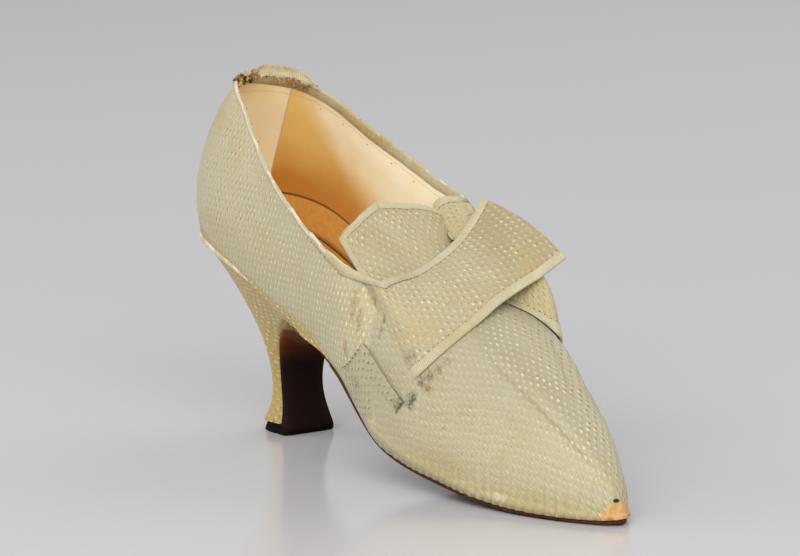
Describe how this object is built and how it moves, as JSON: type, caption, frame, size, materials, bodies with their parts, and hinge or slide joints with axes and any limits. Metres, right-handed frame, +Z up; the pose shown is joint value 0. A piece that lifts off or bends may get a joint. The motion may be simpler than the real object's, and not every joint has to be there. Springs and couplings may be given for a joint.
{
  "type": "latchet shoe",
  "caption": "Lady's figured silk latchet shoe with a pointed toe, peaked tongue, crossing straps, leather sole and a high waisted heel covered in silk.",
  "frame": {"origin": "on the floor plane, under the middle of the shoe's bounding box", "axes": "+X from the heel to the toe, +Y to the wearer's left, +Z up"},
  "size_m": [0.2457, 0.0634, 0.1307],
  "materials": {
    "upper_silk": "figured silk, faded sage and ivory",
    "latchet_silk": "figured silk bound with ribbed ribbon",
    "tongue_silk": "figured silk bound with ribbed ribbon",
    "heel_silk": "carved wood covered in golden figured silk",
    "sole_leather": "worn red-brown, darker and smoother on the heel breast",
    "lift_leather": "dark brown, worn at the edge",
    "insole_leather": "orange-tan, matt"
  },
  "bodies": {
    "root": {"outsole": "sole_leather", "upper": "upper_silk", "tongue": "tongue_silk", "insole": "insole_leather", "heel": "heel_silk", "top_lift": "lift_leather", "latchet_left": "latchet_silk", "latchet_right": "latchet_silk"}
  },
  "joints": []
}
